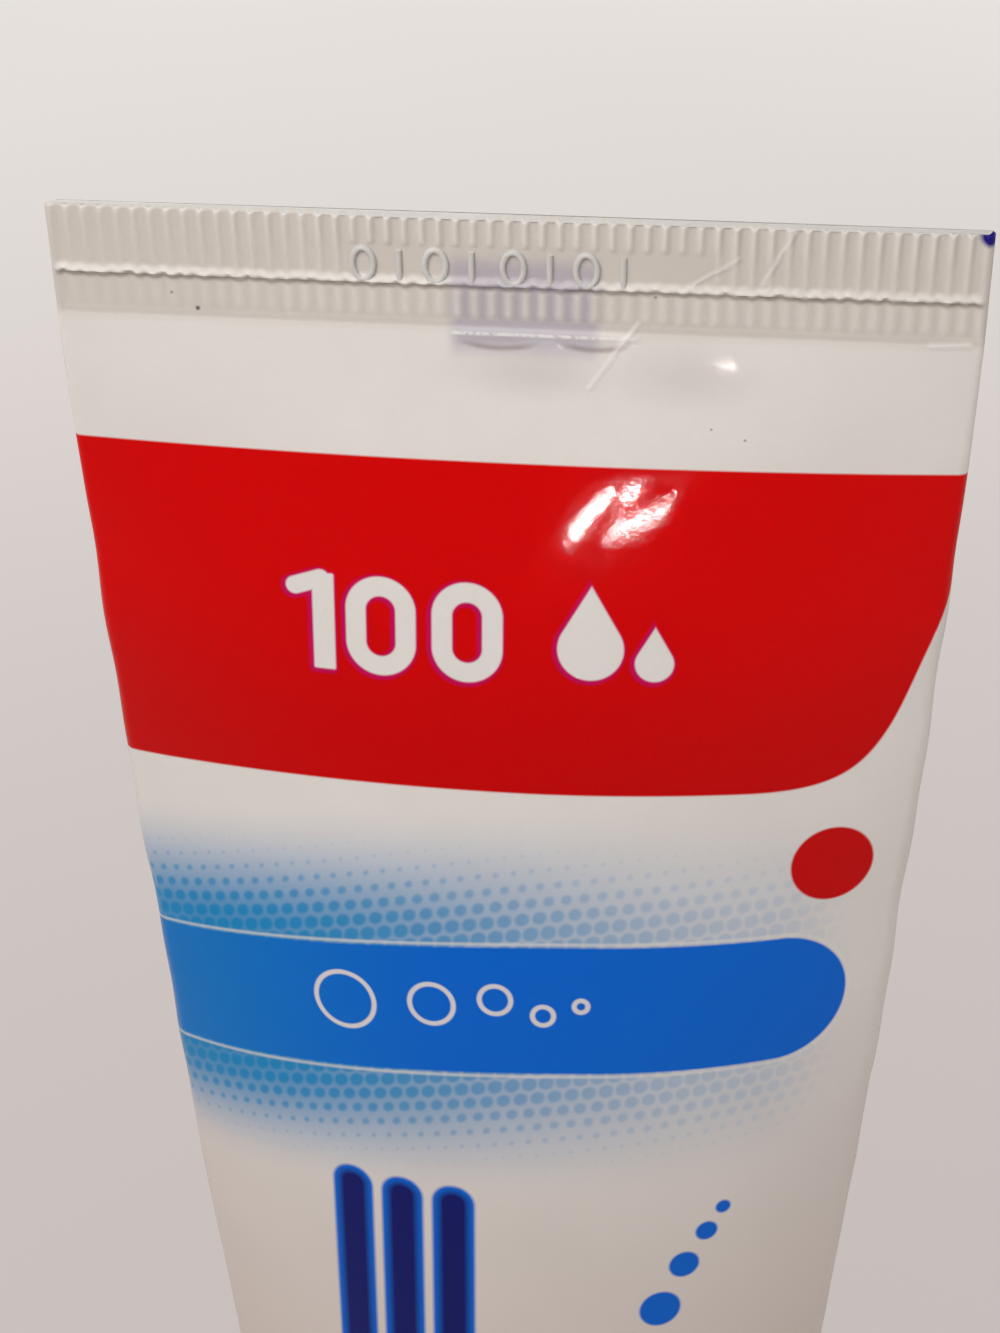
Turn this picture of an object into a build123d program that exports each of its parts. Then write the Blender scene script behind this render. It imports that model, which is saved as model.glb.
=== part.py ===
"""Laminate toothpaste tube, 100 ml, standing on its wide flip-top cap.

The origin is the middle of the cap's flat outer face, +Z runs up the tube to its crimped end, the printed
front faces -Y and the crimp lies along X.  Millimetres.
"""

import os
from math import atan2, ceil, cos, pi, radians, sin, tan

from build123d import *

# ---- driving dimensions ----------------------------------------------------------------------------------

tube_diameter = 35.0  # round end of the sleeve, outside
sleeve_length = 160.0  # shoulder to crimped edge
laminate = 0.3  # sleeve wall
weld_height = 4.0  # round stretch of the sleeve that is bonded to the head

crimp_height = 6.8
crimp_pitch = 1.0  # one ridge and one groove
crimp_wave = 0.14  # ridge height to either side of the middle
crimp_overlap = 0.6  # how far the crimped strip runs down into the sleeve's closed end
closed_half_depth = 0.1  # half the inner gap where the walls meet
closing_power = 1.5  # how late the sleeve flattens towards the crimp
face_share = 0.82  # how much of each half turn the broad faces take, against the tips
sleeve_stations = 9

head_wall = 1.2
shoulder_angle = 25.0  # degrees from level
shoulder_ring = 1.7  # flat ring at the head's outer edge
neck_diameter = 13.2  # at the thread's root
neck_bore = 8.0
neck_length = 7.2
neck_edge_radius = 0.5

cap_diameter = 34.0
cap_wall = 1.2
lid_height = 7.5
lid_plate = 1.5
lid_edge = 1.2  # rounding of the face that the tube stands on
thumb_lip_width = 10.0
thumb_lip_reach = 1.1
thumb_lip_height = 1.3
thumb_lip_corner = 1.0
thumb_hollow_diameter = 16.0
thumb_hollow_depth = 0.6
hinge_width = 9.0
hinge_reach = 0.5  # how far the hinge lips stand out behind the cap
hinge_lip = 0.7

deck_thickness = 1.2
deck_recess = 0.9  # from the base's lower rim up to the deck
seat_ring_wall = 0.8
seat_ring_drop = 2.4
spout_diameter = 7.4
spout_bore = 5.0
spout_drop = 4.0  # below the deck
spout_edge = 0.5
plug_entry = 1.5  # how far the lid's plug stands in the spout
plug_taper = 0.25
collar_wall = 1.2
thread_height = 0.8  # room for the thread round the neck
brace_count = 6
brace_thickness = 0.9

fill_headroom = 10.0  # paste stops this far below the crimp

# ---- clearances ------------------------------------------------------------------------------------------

rim_gap = 0.2  # lid to base at the parting line
seat_gap = 0.4  # lid wall to the base's seat ring
plug_gap = 0.3
thread_gap = 0.2
lip_gap = 0.2  # neck lip to deck
shoulder_gap = 0.3  # base to the tube's shoulder
paste_gap = 0.2

# ---- values that follow ----------------------------------------------------------------------------------

tube_radius = tube_diameter / 2
cavity_radius = tube_radius - laminate
cap_radius = cap_diameter / 2
cap_inner_radius = cap_radius - cap_wall
neck_radius = neck_diameter / 2

base_bottom = lid_height + rim_gap
deck_bottom = base_bottom + deck_recess
deck_top = deck_bottom + deck_thickness
spout_tip = deck_bottom - spout_drop
neck_lip = deck_top + lip_gap
neck_root = neck_lip + neck_length

shoulder_slope = tan(radians(shoulder_angle))


def shoulder_height(radius):
    """Height of the shoulder's outer cone at a radius."""
    return neck_root + (radius - neck_radius) * shoulder_slope


ring_inner_radius = cavity_radius - shoulder_ring
shoulder = shoulder_height(ring_inner_radius)
base_top = min(shoulder, shoulder_height(cap_inner_radius)) - shoulder_gap

sleeve_top = shoulder + sleeve_length
weld_top = shoulder + weld_height
crimp_base = sleeve_top - crimp_height
fill_top = crimp_base - fill_headroom
cavity_top = crimp_base - crimp_overlap

collar_inner_radius = neck_radius + thread_height + thread_gap
collar_outer_radius = collar_inner_radius + collar_wall
seat_ring_radius = cap_inner_radius - seat_gap
hinge_y = cap_radius + hinge_reach
hinge_z = lid_height + rim_gap / 2

# ---- the sleeve's section --------------------------------------------------------------------------------


def flattened_circle(half_depth, girth_radius):
    """Four tangent arcs with a given half depth and the girth of a circle.

    Returns the half width, the radius of the tips and half of a broad face's turn.
    """

    def arcs(half_width):
        half_turn = face_share * 2 * atan2(half_depth, half_width)
        extra = (half_width - half_depth) / (sin(half_turn) + cos(half_turn) - 1)
        tip = half_width - extra * sin(half_turn)
        return tip, tip + extra, half_turn, 4 * (extra * half_turn + tip * pi / 2)

    narrow, wide = half_depth, girth_radius * pi / 2
    for _ in range(60):
        middle = (narrow + wide) / 2
        if arcs(middle)[3] < 2 * pi * girth_radius:
            narrow = middle
        else:
            wide = middle
    tip, _, half_turn, _ = arcs(wide)
    return wide, tip, half_turn


def cavity_half_depth(height):
    """Half the inner depth of the sleeve, from round at the weld to closed at the crimp."""
    along = (height - weld_top) / (crimp_base - weld_top)
    return closed_half_depth + (cavity_radius - closed_half_depth) * (1 - along**closing_power)


def sleeve_section(height, grow=0.0):
    """The cavity's section at a height, grown all round by a wall or a clearance."""
    half_depth = cavity_half_depth(height)
    half_width, tip, half_turn = flattened_circle(half_depth, cavity_radius)
    join_x = half_width - tip + (tip + grow) * sin(half_turn)
    join_y = (tip + grow) * cos(half_turn)
    front_left, front_right = (-join_x, -join_y, height), (join_x, -join_y, height)
    back_left, back_right = (-join_x, join_y, height), (join_x, join_y, height)
    arcs = [
        ThreePointArc(front_left, (0, -half_depth - grow, height), front_right),
        ThreePointArc(front_right, (half_width + grow, 0, height), back_right),
        ThreePointArc(back_right, (0, half_depth + grow, height), back_left),
        ThreePointArc(back_left, (-half_width - grow, 0, height), front_left),
    ]
    return Face(Wire(arcs))


def sleeve_sections(bottom, top, grow=0.0):
    """Sections from one height up to another, all grown alike."""
    rise = (top - bottom) / sleeve_stations
    return [sleeve_section(bottom + rise * station, grow) for station in range(sleeve_stations + 1)]


# ---- tube sleeve -----------------------------------------------------------------------------------------

outer_sections = sleeve_sections(weld_top, crimp_base, laminate)
cavity_sections = sleeve_sections(weld_top, cavity_top)

with BuildPart() as tube_sleeve:
    with BuildSketch(Plane.XY.offset(shoulder)):
        Circle(tube_radius)
    extrude(amount=weld_height)
    loft(outer_sections)

    # the two walls pressed into one corrugated strip
    strip_half = flattened_circle(closed_half_depth, cavity_radius)[0] + laminate
    half_pitches = 2 * ceil(2 * strip_half / crimp_pitch)
    half_pitch = 2 * strip_half / half_pitches
    ridge_line = [
        (-strip_half + half_pitch * step, crimp_wave * (-1) ** step) for step in range(half_pitches + 1)
    ]
    front_line = [(x, y - laminate) for x, y in ridge_line]
    back_line = [(x, y + laminate) for x, y in reversed(ridge_line)]
    with BuildSketch(Plane.XY.offset(crimp_base - crimp_overlap)):
        with BuildLine():
            Polyline(*front_line, *back_line, close=True)
        make_face()
    extrude(amount=crimp_height + crimp_overlap)

    with BuildSketch(Plane.XY.offset(shoulder)):
        Circle(cavity_radius)
    extrude(amount=weld_height, mode=Mode.SUBTRACT)
    loft(cavity_sections, mode=Mode.SUBTRACT)

# ---- tube head: shoulder, neck and nozzle in one moulding ------------------------------------------------

with BuildPart() as tube_head:
    wall_rise = head_wall / cos(radians(shoulder_angle))
    skirt_inner_radius = cavity_radius - head_wall
    bore_radius = neck_bore / 2
    with BuildSketch(Plane.XZ):
        with BuildLine():
            Polyline(
                (bore_radius, neck_lip),
                (neck_radius, neck_lip),
                (neck_radius, neck_root),
                (ring_inner_radius, shoulder),
                (cavity_radius, shoulder),
                (cavity_radius, weld_top),
                (skirt_inner_radius, weld_top),
                (skirt_inner_radius, shoulder_height(skirt_inner_radius) + wall_rise),
                (bore_radius, shoulder_height(bore_radius) + wall_rise),
                close=True,
            )
        make_face()
    revolve(axis=Axis.Z)
    neck_edge = tube_head.edges().filter_by(GeomType.CIRCLE).group_by(Axis.Z)[0].sort_by(SortBy.RADIUS)[-1]
    fillet(neck_edge, radius=neck_edge_radius)

# ---- toothpaste: the filling, from the nozzle up to the headroom -----------------------------------------

paste_sections = sleeve_sections(weld_top + paste_gap, fill_top, -paste_gap)

with BuildPart() as toothpaste:
    with BuildSketch(Plane.XZ):
        with BuildLine():
            throat = bore_radius - paste_gap
            shoulder_reach = skirt_inner_radius - paste_gap
            lift = wall_rise + paste_gap
            Polyline(
                (0, neck_lip),
                (throat, neck_lip),
                (throat, shoulder_height(throat) + lift),
                (shoulder_reach, shoulder_height(shoulder_reach) + lift),
                (shoulder_reach, weld_top + paste_gap),
                (0, weld_top + paste_gap),
                close=True,
            )
        make_face()
    revolve(axis=Axis.Z)
    loft(paste_sections)

# ---- cap base: screwed on the neck, with the spout and the seat for the lid ------------------------------

with BuildPart() as cap_base:
    with BuildSketch(Plane.XY.offset(base_bottom)):
        Circle(cap_radius)
    extrude(amount=base_top - base_bottom)
    with BuildSketch(Plane.XY.offset(base_bottom)):
        Circle(cap_inner_radius)
    extrude(amount=deck_recess, mode=Mode.SUBTRACT)
    with BuildSketch(Plane.XY.offset(deck_top)):
        Circle(cap_inner_radius)
    extrude(amount=base_top - deck_top, mode=Mode.SUBTRACT)

    # seat ring for the lid
    with BuildSketch(Plane.XY.offset(deck_bottom)):
        Circle(seat_ring_radius)
        Circle(seat_ring_radius - seat_ring_wall, mode=Mode.SUBTRACT)
    extrude(amount=-seat_ring_drop)

    # collar round the neck, braced to the outer wall
    collar_top = shoulder_height(collar_outer_radius) - shoulder_gap - head_wall
    with BuildSketch(Plane.XY.offset(deck_top)):
        Circle(collar_outer_radius)
        brace_length = cap_inner_radius - collar_inner_radius
        with PolarLocations(collar_inner_radius + brace_length / 2, brace_count, start_angle=30):
            Rectangle(brace_length + cap_wall / 2, brace_thickness)
        Circle(collar_inner_radius, mode=Mode.SUBTRACT)
    extrude(amount=collar_top - deck_top)

    # spout
    with BuildSketch(Plane.XY.offset(spout_tip)):
        Circle(spout_diameter / 2)
    extrude(amount=spout_drop)
    spout_rim = cap_base.edges().filter_by(GeomType.CIRCLE).group_by(Axis.Z)[0]
    fillet(spout_rim, radius=spout_edge)
    with BuildSketch(Plane.XY.offset(spout_tip)):
        Circle(spout_bore / 2)
    extrude(amount=deck_top - spout_tip, mode=Mode.SUBTRACT)

    # hollow for the thumb over the lid's lip
    with BuildSketch(Plane.XZ.offset(cap_radius - thumb_hollow_depth)):
        with Locations((0, base_bottom)):
            Circle(thumb_hollow_diameter / 2)
    extrude(amount=cap_radius, mode=Mode.SUBTRACT)

    # upper lip of the film hinge
    with BuildSketch(Plane.XY.offset(base_bottom)):
        with Locations((0, cap_radius - cap_wall / 2)):
            Rectangle(hinge_width, hinge_reach + cap_wall / 2, align=(Align.CENTER, Align.MIN))
    extrude(amount=hinge_lip)

# ---- cap lid: the face that the tube stands on -----------------------------------------------------------

with BuildPart() as cap_lid:
    with BuildSketch():
        Circle(cap_radius)
    extrude(amount=lid_height)
    fillet(cap_lid.faces().sort_by(Axis.Z)[0].edges(), radius=lid_edge)
    with BuildSketch(Plane.XY.offset(lid_plate)):
        Circle(cap_inner_radius)
    extrude(amount=lid_height - lid_plate, mode=Mode.SUBTRACT)

    # plug that closes the spout
    plug_radius = spout_bore / 2 - plug_gap
    plug_tip = spout_tip + plug_entry
    with BuildSketch(Plane.XY.offset(lid_plate)):
        Circle(plug_radius)
    with BuildSketch(Plane.XY.offset(plug_tip)):
        Circle(plug_radius - plug_taper)
    loft()

    # lip for the thumb
    with BuildSketch(Plane.XY.offset(lid_height - thumb_lip_height)) as thumb_lip:
        with Locations((0, cap_wall / 2 - cap_radius)):
            Rectangle(thumb_lip_width, thumb_lip_reach + cap_wall / 2, align=(Align.CENTER, Align.MAX))
        fillet(thumb_lip.vertices().group_by(Axis.Y)[0], radius=thumb_lip_corner)
    extrude(amount=thumb_lip_height)

    # lower lip of the film hinge
    with BuildSketch(Plane.XY.offset(lid_height - hinge_lip)):
        with Locations((0, cap_radius - cap_wall / 2)):
            Rectangle(hinge_width, hinge_reach + cap_wall / 2, align=(Align.CENTER, Align.MIN))
    extrude(amount=hinge_lip)

# ---- files -----------------------------------------------------------------------------------------------

os.makedirs("parts", exist_ok=True)
tube_sleeve.part.label = "tube_sleeve"
export_step(tube_sleeve.part, "parts/tube_sleeve.step")
tube_head.part.label = "tube_head"
export_step(tube_head.part, "parts/tube_head.step")
toothpaste.part.label = "toothpaste"
export_step(toothpaste.part, "parts/toothpaste.step")
cap_base.part.label = "cap_base"
export_step(cap_base.part, "parts/cap_base.step")
cap_lid.part.label = "cap_lid"
export_step(cap_lid.part, "parts/cap_lid.step")

print(f"height {sleeve_top:.2f}, crimp from {crimp_base:.2f}, crimp width {2 * strip_half:.2f}")
print(f"shoulder {shoulder:.2f}, neck lip {neck_lip:.2f}, collar top {collar_top:.2f}")
print(f"lid hinge axis at y {hinge_y:.2f}, z {hinge_z:.2f}; paste {toothpaste.part.volume / 1000:.1f} ml")
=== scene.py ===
"""The looks of a laminate tube of paste that stands on its wide flip cap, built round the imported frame.

Sizes are in millimetres and become metres where a mesh is made. On the sleeve, girth is the distance round
the wall from its front middle, to the right, and drop is the distance below the crimped top edge.
"""
import math

import bpy
import numpy as np
from mathutils import Matrix, Vector


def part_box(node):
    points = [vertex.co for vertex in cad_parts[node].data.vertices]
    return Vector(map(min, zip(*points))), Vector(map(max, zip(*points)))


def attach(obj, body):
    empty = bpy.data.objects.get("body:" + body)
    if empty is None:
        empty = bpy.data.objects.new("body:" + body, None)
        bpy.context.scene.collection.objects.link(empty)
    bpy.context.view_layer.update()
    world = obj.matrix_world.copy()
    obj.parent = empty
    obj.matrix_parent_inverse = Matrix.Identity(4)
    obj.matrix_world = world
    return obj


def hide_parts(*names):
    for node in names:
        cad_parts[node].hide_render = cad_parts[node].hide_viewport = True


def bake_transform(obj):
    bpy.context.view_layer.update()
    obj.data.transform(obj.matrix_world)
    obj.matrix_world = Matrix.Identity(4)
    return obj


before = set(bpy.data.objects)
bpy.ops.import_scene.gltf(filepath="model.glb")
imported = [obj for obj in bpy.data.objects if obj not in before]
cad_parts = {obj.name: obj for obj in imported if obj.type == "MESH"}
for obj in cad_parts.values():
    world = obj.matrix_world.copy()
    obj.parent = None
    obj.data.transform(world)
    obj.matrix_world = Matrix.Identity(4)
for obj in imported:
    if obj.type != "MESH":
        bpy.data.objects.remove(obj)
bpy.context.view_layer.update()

MM = 0.001


def box_mm(node):
    """Lowest and highest corner of a frame node in millimetres."""
    return [np.array(corner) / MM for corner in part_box(node)]


sleeve_low, sleeve_high = box_mm("tube_sleeve")
head_low, head_high = box_mm("tube_head")
cap_radius = box_mm("cap_base")[1][0]
fill_high = box_mm("toothpaste")[1][2]

# ---- sizes of the sleeve
laminate = 0.3
cavity_radius = head_high[0]
girth = 2 * math.pi * (cavity_radius + laminate)
half_girth = girth / 2
side_girth = girth / 4  # the side edges, where front meets back
top = sleeve_high[2]
foot = sleeve_low[2]
sleeve_length = top - foot
mouth_bevel = 0.12  # the sleeve's cut bottom edge is eased by this much
cut_bevel = 0.17  # and its crimped top edge by this much
weld_top = head_high[2]
crimp_height = 6.8
ribbed_height = 7.7  # the densely meshed stretch: the crimp and the lip below it
mirror_end = 16.1  # the wall's next densest stretch ends here
front_end = 62.0
crimp_base = top - crimp_height
crimp_pitch = 1.0
closed_half_depth = 0.1
closing_power = 1.5
face_share = 0.82
seam_strip = 2.0  # unprinted laminate each side of the back middle
crimp_points, wall_points, cavity_points = 880, 440, 110  # round each ring of the mesh

# ---- sizes of the cap and neck
neck_lip = head_low[2]
neck_radius = 6.6
neck_root = neck_lip + 7.2
neck_bore = 4.0
shoulder_slope = math.tan(math.radians(25))
hinge_axis = np.array([0, 17.5, 7.6])

# ---- the printed design, as (girth, drop) places
red_top, red_bottom = 14.9, 36.4
corner_drop, corner_lean, corner_ease = 21.7, 0.31, 9.0
band_top, band_bottom, band_end = 47.4, 57.0, 23.0
halo_reach, halo_end = 10.6, 24.0
dot_pitch = 1.15
digit_middle = 25.8
stem_middle, nought_middles = -11.55, (-7.9, -2.45)
large_drop, small_drop = (5.2, 26.5), (9.15, 27.35)
band_rings = (((-11.0, 53.2), 2.1), ((-4.9, 52.4), 1.5), ((-0.6, 51.6), 1.05), ((2.6, 52.6), 0.7),
              ((5.1, 51.8), 0.45))
badge_middle, badge_radius = (21.2, 42.0), 2.75
bar_half_width = 1.35
bars_along = ((-10.9, 104.0, 37.0), (-7.2, 98.0, 31.0), (-3.5, 92.0, 25.0))  # girth, drop, half length
trail_discs = (((15.4, 69.0), 0.55), ((14.3, 70.9), 0.8), ((12.8, 73.6), 1.1), ((11.2, 77.3), 1.5),
               ((9.4, 82.4), 2.0), ((7.8, 89.4), 2.7), ((7.4, 98.8), 3.6))
sensor_left, sensor_right, sensor_foot = -3.4, 5.2, 8.3  # the sensor mark behind the crimp
lip_drop = 7.15


# ---- sums on node sockets
def feed(tree, entry, value):
    """Links a Field or a socket to a node's input, or sets the input to a plain value."""
    value = value.socket if isinstance(value, Field) else value
    if isinstance(value, bpy.types.NodeSocket):
        tree.links.new(value, entry)
    else:
        entry.default_value = value


def feed_each(tree, made, entries):
    """Feeds several of a node's inputs, by name or number."""
    for entry, value in entries.items():
        feed(tree, made.inputs[entry], value)


def sum_node(operation):
    """A two-sided sum for Field, from a Math node's operation."""
    return lambda field, other: field.math(operation, other)


class Field:
    """A number that varies over a surface, held as a node socket. Sums on it add Math nodes to its tree."""

    def __init__(self, tree, socket):
        self.tree = tree
        self.socket = socket

    def math(self, operation, *others, clamp=False):
        made = self.tree.nodes.new("ShaderNodeMath")
        made.operation = operation
        made.use_clamp = clamp
        for entry, value in zip(made.inputs, (self, *others)):
            feed(self.tree, entry, value)
        return Field(self.tree, made.outputs[0])

    __add__ = __radd__ = sum_node("ADD")
    __sub__ = sum_node("SUBTRACT")
    __mul__ = __rmul__ = sum_node("MULTIPLY")
    __truediv__ = sum_node("DIVIDE")
    __pow__ = sum_node("POWER")
    least = sum_node("MINIMUM")
    most = sum_node("MAXIMUM")

    def __rsub__(self, other):
        return self * -1 + other

    def __neg__(self):
        return self * -1

    def __abs__(self):
        return self.math("ABSOLUTE")

    def clipped(self):
        return self.math("ADD", 0.0, clamp=True)

    def step(self, start, end):
        """A smooth rise from 0 at start to 1 at end."""
        made = self.tree.nodes.new("ShaderNodeMapRange")
        made.interpolation_type = "SMOOTHSTEP"
        feed_each(self.tree, made, {"Value": self, "From Min": start, "From Max": end})
        return Field(self.tree, made.outputs["Result"])


def between(field, low, high, soft):
    """1 where field lies between low and high, with edges that fade over soft."""
    return field.step(low - soft, low + soft) * (1 - field.step(high - soft, high + soft))


def hypot(across, along):
    return (across * across + along * along).math("SQRT")


def noise(tree, vector, scale, detail=2.0, roughness=0.5, distortion=0.0):
    """A Noise Texture on a vector socket, as a Field from 0 to 1."""
    made = tree.nodes.new("ShaderNodeTexNoise")
    feed_each(tree, made, {"Vector": vector, "Scale": scale, "Detail": detail, "Roughness": roughness,
                           "Distortion": distortion})
    return Field(tree, made.outputs[0])


def joined(tree, across, along, depth=0.0):
    """A vector socket from numbers or Fields."""
    made = tree.nodes.new("ShaderNodeCombineXYZ")
    for entry, value in zip(made.inputs, (across, along, depth)):
        feed(tree, entry, value)
    return made.outputs[0]


def parted(tree, vector):
    """The three parts of a vector socket, as Fields."""
    made = tree.nodes.new("ShaderNodeSeparateXYZ")
    tree.links.new(vector, made.inputs[0])
    return [Field(tree, output) for output in made.outputs]


# ---- outlines, as distances in millimetres that are negative inside
def disc(u, v, middle, radius):
    return hypot(u - middle[0], v - middle[1]) - radius


def panel(u, v, middle, half, corner):
    """A rounded rectangle."""
    across = abs(u - middle[0]) - (half[0] - corner)
    along = abs(v - middle[1]) - (half[1] - corner)
    outside = hypot(across.most(0.0), along.most(0.0))
    return outside + across.most(along).least(0.0) - corner


def stroke(u, v, start, end, radius):
    """A straight stroke with round ends."""
    run = np.array(end) - np.array(start)
    share = ((u - start[0]) * float(run[0]) + (v - start[1]) * float(run[1])) / float(run @ run)
    share = share.clipped()
    return hypot(u - start[0] - share * float(run[0]), v - start[1] - share * float(run[1])) - radius


def hoop(u, v, middle, radius, stretch, width):
    """A closed band round a short upright line, like a nought."""
    along = (abs(v - middle[1]) - stretch).most(0.0)
    return abs(hypot(u - middle[0], along) - radius) - width / 2


def drop_mark(u, v, middle, radius, point):
    """A falling drop: a disc with a straight-sided point this far above its middle."""
    lean = radius / point
    rise = middle[1] - v
    side = abs(u - middle[0]) * math.sqrt(1 - lean * lean) + rise * lean - radius
    return disc(u, v, middle, radius).least(side.most(radius * lean - rise))


def gathered(shapes):
    """One outline round several."""
    whole = shapes[0]
    for shape in shapes[1:]:
        whole = whole.least(shape)
    return whole


def inked(distance, soft=0.05):
    """How much ink lies at a distance from an outline, from 0 to 1."""
    return (distance * (-0.5 / soft) + 0.5).clipped()


# ---- colours
def linear(red, green, blue):
    """A colour given in the 0 to 255 steps of a paint chart."""
    steps = [c / 255 for c in (red, green, blue)]
    return [c / 12.92 if c <= 0.04045 else ((c + 0.055) / 1.055) ** 2.4 for c in steps] + [1.0]


def paint(tree, below, colour, share):
    """Lays a colour over another, by a share from 0 to 1."""
    made = tree.nodes.new("ShaderNodeMix")
    made.data_type = "RGBA"
    feed_each(tree, made, {0: share, 6: below, 7: colour})
    return made.outputs[2]


def new_material(name):
    """A material with its tree, shader and own Object coordinates."""
    material = bpy.data.materials.new(name)
    material.use_nodes = True
    tree = material.node_tree
    shader = tree.nodes["Principled BSDF"]
    place = tree.nodes.new("ShaderNodeTexCoord").outputs["Object"]
    return material, tree, shader, place


def bump(tree, height, strength, depth, below=None):
    """A Bump node on a height from 0 to 1 that stands for a depth in metres."""
    made = tree.nodes.new("ShaderNodeBump")
    feed_each(tree, made, {"Strength": strength, "Distance": depth, "Height": height})
    if below is not None:
        tree.links.new(below, made.inputs["Normal"])
    return made.outputs["Normal"]


def coat(tree, shader, colour, rough, normal):
    """Links a finish to its shader."""
    feed_each(tree, shader, {"Base Color": colour, "Roughness": rough, "Normal": normal})


def soften(shader, weight, radius, scale):
    """Lets some light through just under the surface."""
    shader.inputs["Subsurface Weight"].default_value = weight
    shader.inputs["Subsurface Radius"].default_value = radius
    shader.inputs["Subsurface Scale"].default_value = scale


# ---- printed laminate
WHITE_FILM = linear(238, 233, 229)
CRIMP_FILM = linear(222, 214, 206)
RED_INK = linear(222, 2, 3)
# A deep red: painted shade at the red panel's foot, and the badge's ink.
DEEP_RED_AND_PAINTED_SHADE = linear(208, 2, 4)
BLUE_INK = linear(2, 106, 220)
NAVY_INK = linear(12, 22, 110)
PALE_BLUE_INK = linear(0, 124, 208)
CYAN_INK = linear(0, 140, 204)
FRINGE_INK = linear(196, 14, 110)
MARK_INK = linear(128, 118, 170)
SPOT_INK = linear(30, 22, 130)
SPECK_TONE = linear(70, 62, 56)
DIMPLE_PAINTED_SHADE = linear(132, 112, 104)


def red_field(u, v):
    """The red panel: straight edges, and a slanted lower corner on each side of the right-hand edge."""
    slant = (v - corner_drop) * corner_lean - abs(u - side_girth)
    leftward = u.least(0.0).most(-side_girth)
    lower = (v - leftward * leftward * 0.0018 - red_bottom).math("SMOOTH_MAX", slant, corner_ease)
    return lower.most(red_top - v).most(abs(u) - (half_girth - seam_strip))


def capacity_marks(u, v):
    """Plain digits and two drops, on the red panel."""
    marks = [panel(u, v, (stem_middle, digit_middle), (0.7, 3.2), 0.12),
             stroke(u, v, (-13.35, 23.55), (-11.7, 22.95), 0.58)]
    marks += [hoop(u, v, (middle, digit_middle), 1.58, 1.04, 1.28) for middle in nought_middles]
    marks += [drop_mark(u, v, large_drop, 2.05, 4.1), drop_mark(u, v, small_drop, 1.2, 2.4)]
    return gathered(marks)


def band_sag(u):
    """How far the blue band hangs lower towards the left and the back."""
    share = ((6.0 - u) / 58.0).clipped()
    return (1 - (share * math.pi).math("COSINE")) * 3.7


def dot_grid(u, v, pitch, radius):
    """Staggered rows of dots, whose radius may vary over the surface."""
    row = (v / pitch).math("FLOOR")
    shift = row.math("MODULO", 2.0) * 0.5
    across = ((u / pitch + shift).math("FRACT") - 0.5) * pitch
    along = ((v / pitch).math("FRACT") - 0.5) * pitch
    return hypot(across, along) - radius


def blue_band(tree, colour, u, v):
    """The blue band with its halo of dots, its thin pale outline and a row of white rings."""
    printed = 1 - between(abs(u), half_girth - seam_strip, half_girth + 1, 0.02)
    sagged = v - band_sag(u)
    middle, half = (band_top + band_bottom) / 2, (band_bottom - band_top) / 2
    band = panel(u, sagged, (band_end - 40.0, middle), (40.0, half), half - 0.05)
    band = band.least(panel(u, sagged, (-40.0, middle), (22.0, half), 0.2))

    away = band.most(0.0)
    leftward = (1 - u.step(-22.0, 22.0)) * 0.82 + 0.18
    glow = (1 - away.step(1.0, halo_reach)) * leftward
    dots = dot_grid(u, sagged + u * 0.12, dot_pitch, (1 - away.step(0.3, 8.8)) * 0.52)
    shown = printed * (1 - u.step(17.0, halo_end))
    colour = paint(tree, colour, CYAN_INK, glow * shown * 0.92)
    colour = paint(tree, colour, CYAN_INK, inked(dots, 0.12) * glow * shown * 0.9)
    colour = paint(tree, colour, WHITE_FILM, inked(abs(band - 0.25) - 0.1, 0.1) * printed * 0.7)
    band_colour = paint(tree, BLUE_INK, PALE_BLUE_INK, 1 - u.step(-27.0, -2.0))
    colour = paint(tree, colour, band_colour, inked(band, 0.08) * printed)
    rings = gathered([disc(u, v, place, size) for place, size in band_rings])
    return paint(tree, colour, WHITE_FILM, inked(abs(rings) - 0.17, 0.06) * 0.92)


def print_design(tree, film, u, v):
    """All the ink on the film, from the lowest layer up."""
    colour = blue_band(tree, film, u, v)
    # Painted shade: the red panel darkens towards its foot.
    red_with_painted_shade = paint(tree, RED_INK, DEEP_RED_AND_PAINTED_SHADE, v.step(22.0, red_bottom))
    colour = paint(tree, colour, red_with_painted_shade, inked(red_field(u, v), 0.07))
    fringe = capacity_marks(u + 0.1, v - 0.08) - 0.2
    colour = paint(tree, colour, FRINGE_INK, inked(fringe, 0.12) * 0.75)
    colour = paint(tree, colour, WHITE_FILM, inked(capacity_marks(u, v), 0.07))
    # The badge disc is printed in the deep red.
    colour = paint(tree, colour, DEEP_RED_AND_PAINTED_SHADE, inked(disc(u, v, badge_middle, badge_radius), 0.08))

    bars = gathered([panel(u, v, (across, drop), (bar_half_width, half), bar_half_width - 0.05)
                     for across, drop, half in bars_along])
    colour = paint(tree, colour, BLUE_INK, inked(bars - 0.18, 0.14))
    colour = paint(tree, colour, NAVY_INK, inked(bars + 0.32, 0.3))
    trail = gathered([disc(u, v, place, size) for place, size in trail_discs])
    return paint(tree, colour, BLUE_INK, inked(trail, 0.1))


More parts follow.
